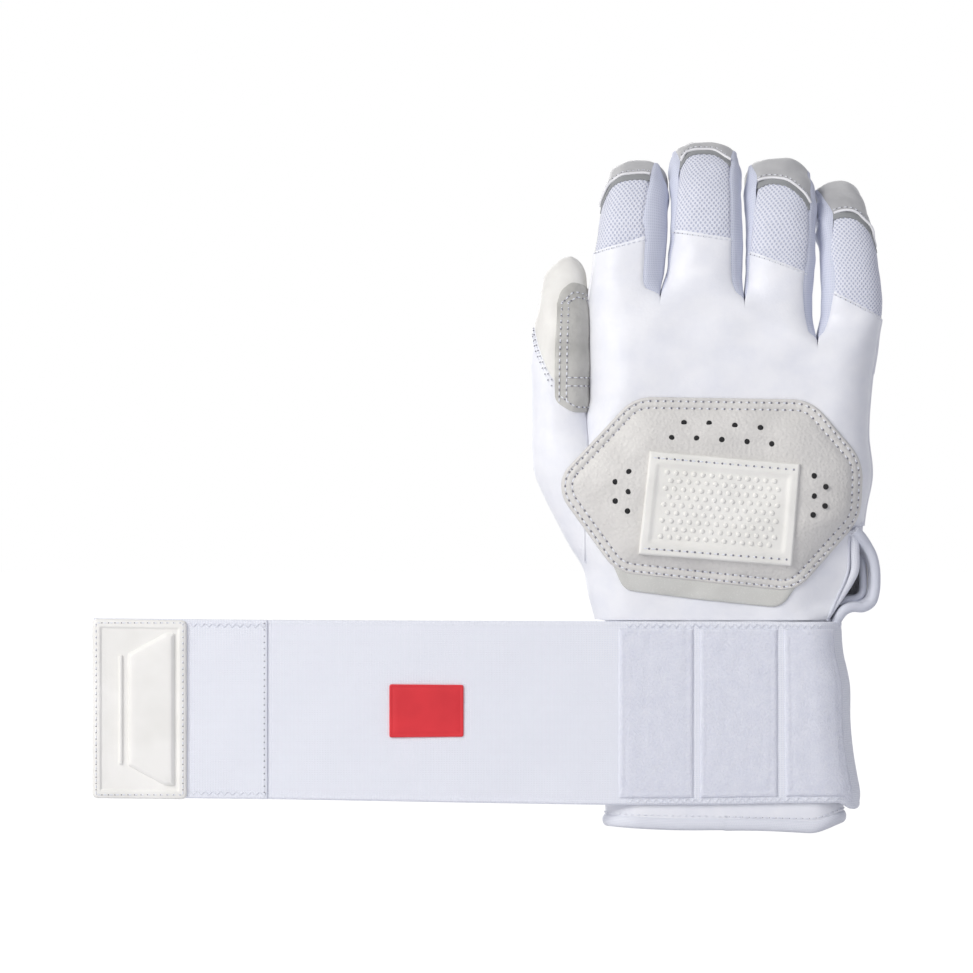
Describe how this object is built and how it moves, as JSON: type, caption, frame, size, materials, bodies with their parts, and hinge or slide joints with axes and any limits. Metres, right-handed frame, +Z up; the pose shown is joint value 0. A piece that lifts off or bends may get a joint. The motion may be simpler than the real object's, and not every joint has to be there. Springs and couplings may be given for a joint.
{
  "type": "batting glove",
  "caption": "Right-hand batting glove with a leather back and palm, mesh-backed jointed fingers, a padded knuckle patch and a wide elastic wrist strap that folds round and grips.",
  "frame": {"origin": "centre of the wrist opening, at the bottom of the cuff", "axes": "+Z up the fingers, +X from the thumb side to the little finger, +Y from the back of the hand to the palm"},
  "size_m": [0.2851, 0.0468, 0.2488],
  "materials": {
    "white_leather": "smooth glove leather, satin",
    "palm_leather": "fine grain goat leather, matt",
    "tip_leather": "fine grain goat leather, satin",
    "grain_leather": "pebbled grain leather",
    "pad_leather": "warm pale grain leather, satin",
    "pad_backing": "smooth coated leather, semi-gloss",
    "foam": "closed-cell foam",
    "badge_rubber": "moulded rubber, satin",
    "stretch_knit": "stretch knit, matt",
    "mesh_knit": "open spacer mesh, matt",
    "piping": "coated piping",
    "binding": "stretch binding tape",
    "elastic": "ribbed woven elastic",
    "loop_pile": "brushed loop pile",
    "hook_tape": "moulded hook tape",
    "tab_rubber": "moulded rubber, satin",
    "label": "moulded rubber patch, satin"
  },
  "bodies": {
    "hand": {"back_panel": "white_leather", "palm_panel": "palm_leather", "thumb_gusset": "white_leather", "web_index_middle": "stretch_knit", "web_middle_ring": "stretch_knit", "web_ring_pinky": "stretch_knit", "knuckle_pad_underlay": "pad_backing", "knuckle_pad_foam": "foam", "knuckle_pad_cover": "pad_leather", "badge": "badge_rubber", "vent_binding": "binding", "cuff_back": "white_leather", "cuff_palm": "palm_leather", "cuff_binding": "binding", "strap_anchor": "elastic", "loop_panel_1": "loop_pile", "loop_panel_2": "loop_pile", "loop_panel_3": "loop_pile"},
    "index_lower": {"index_base_back": "white_leather", "index_base_palm": "palm_leather", "index_base_side_ulnar": "stretch_knit"},
    "index_upper": {"index_mesh": "mesh_knit", "index_tip": "tip_leather", "index_tip_side_ulnar": "stretch_knit", "index_piping": "piping"},
    "middle_lower": {"middle_base_back": "white_leather", "middle_base_palm": "palm_leather", "middle_base_side_ulnar": "stretch_knit", "middle_base_side_radial": "stretch_knit"},
    "middle_upper": {"middle_mesh": "mesh_knit", "middle_tip": "tip_leather", "middle_tip_side_ulnar": "stretch_knit", "middle_tip_side_radial": "stretch_knit", "middle_piping": "piping"},
    "ring_lower": {"ring_base_back": "white_leather", "ring_base_palm": "palm_leather", "ring_base_side_ulnar": "stretch_knit", "ring_base_side_radial": "stretch_knit"},
    "ring_upper": {"ring_mesh": "mesh_knit", "ring_tip": "tip_leather", "ring_tip_side_ulnar": "stretch_knit", "ring_tip_side_radial": "stretch_knit", "ring_piping": "piping"},
    "pinky_lower": {"pinky_base_back": "white_leather", "pinky_base_palm": "palm_leather", "pinky_base_side_radial": "stretch_knit"},
    "pinky_upper": {"pinky_mesh": "mesh_knit", "pinky_tip": "tip_leather", "pinky_tip_side_radial": "stretch_knit", "pinky_piping": "piping"},
    "thumb": {"thumb_outer": "white_leather", "thumb_inner": "grain_leather", "thumb_palm": "palm_leather"},
    "strap_first": {"strap_side": "elastic"},
    "strap_second": {"strap_run": "elastic", "strap_label": "label"},
    "strap_third": {"strap_far_side": "elastic"},
    "strap_fourth": {"strap_end": "elastic", "hook_patch": "hook_tape", "pull_tab": "tab_rubber"}
  },
  "joints": [
    {"name": "index_knuckle", "type": "hinge", "parent": "hand", "child": "index_lower", "pos_m": [-0.037, 0.011, 0.194], "axis": [-1, 0, 0], "range_deg": [0, 70]},
    {"name": "index_middle", "type": "hinge", "parent": "index_lower", "child": "index_upper", "pos_m": [-0.037, 0.01025, 0.2135], "axis": [-1, 0, 0], "range_deg": [0, 70]},
    {"name": "middle_knuckle", "type": "hinge", "parent": "hand", "child": "middle_lower", "pos_m": [-0.0078, 0.011, 0.194], "axis": [-1, 0, 0], "range_deg": [0, 70]},
    {"name": "middle_middle", "type": "hinge", "parent": "middle_lower", "child": "middle_upper", "pos_m": [-0.0078, 0.01025, 0.2155], "axis": [-1, 0, 0], "range_deg": [0, 70]},
    {"name": "ring_knuckle", "type": "hinge", "parent": "hand", "child": "ring_lower", "pos_m": [0.0197, 0.0105, 0.194], "axis": [-1, 0, 0], "range_deg": [0, 70]},
    {"name": "ring_middle", "type": "hinge", "parent": "ring_lower", "child": "ring_upper", "pos_m": [0.0197, 0.01, 0.21], "axis": [-1, 0, 0], "range_deg": [0, 70]},
    {"name": "pinky_knuckle", "type": "hinge", "parent": "hand", "child": "pinky_lower", "pos_m": [0.045, 0.00975, 0.178], "axis": [-1, 0, 0], "range_deg": [0, 70]},
    {"name": "pinky_middle", "type": "hinge", "parent": "pinky_lower", "child": "pinky_upper", "pos_m": [0.045, 0.0095, 0.194], "axis": [-1, 0, 0], "range_deg": [0, 70]},
    {"name": "thumb_swing", "type": "hinge", "parent": "hand", "child": "thumb", "pos_m": [-0.07, 0, 0.15], "axis": [0, -1, 0], "range_deg": [0, 40]},
    {"name": "strap_fold", "type": "hinge", "parent": "hand", "child": "strap_first", "pos_m": [-0.044, -0.0128, 0], "axis": [0, 0, -1], "range_deg": [0, 90]},
    {"name": "strap_fold_palm", "type": "hinge", "parent": "strap_first", "child": "strap_second", "pos_m": [-0.0696, -0.0128, 0], "axis": [0, 0, -1], "range_deg": [0, 90]},
    {"name": "strap_wrap", "type": "hinge", "parent": "strap_second", "child": "strap_third", "pos_m": [-0.1591, -0.0128, 0], "axis": [0, 0, -1], "range_deg": [0, 90]},
    {"name": "strap_wrap_tab", "type": "hinge", "parent": "strap_third", "child": "strap_fourth", "pos_m": [-0.1893, -0.0128, 0], "axis": [0, 0, -1], "range_deg": [0, 90]}
  ],
  "couplings": [
    {"joint": "index_middle", "follows": "index_knuckle", "ratio": 1},
    {"joint": "middle_middle", "follows": "middle_knuckle", "ratio": 1},
    {"joint": "ring_middle", "follows": "ring_knuckle", "ratio": 1},
    {"joint": "pinky_middle", "follows": "pinky_knuckle", "ratio": 1},
    {"joint": "strap_fold_palm", "follows": "strap_fold", "ratio": 1},
    {"joint": "strap_wrap_tab", "follows": "strap_wrap", "ratio": 1}
  ]
}
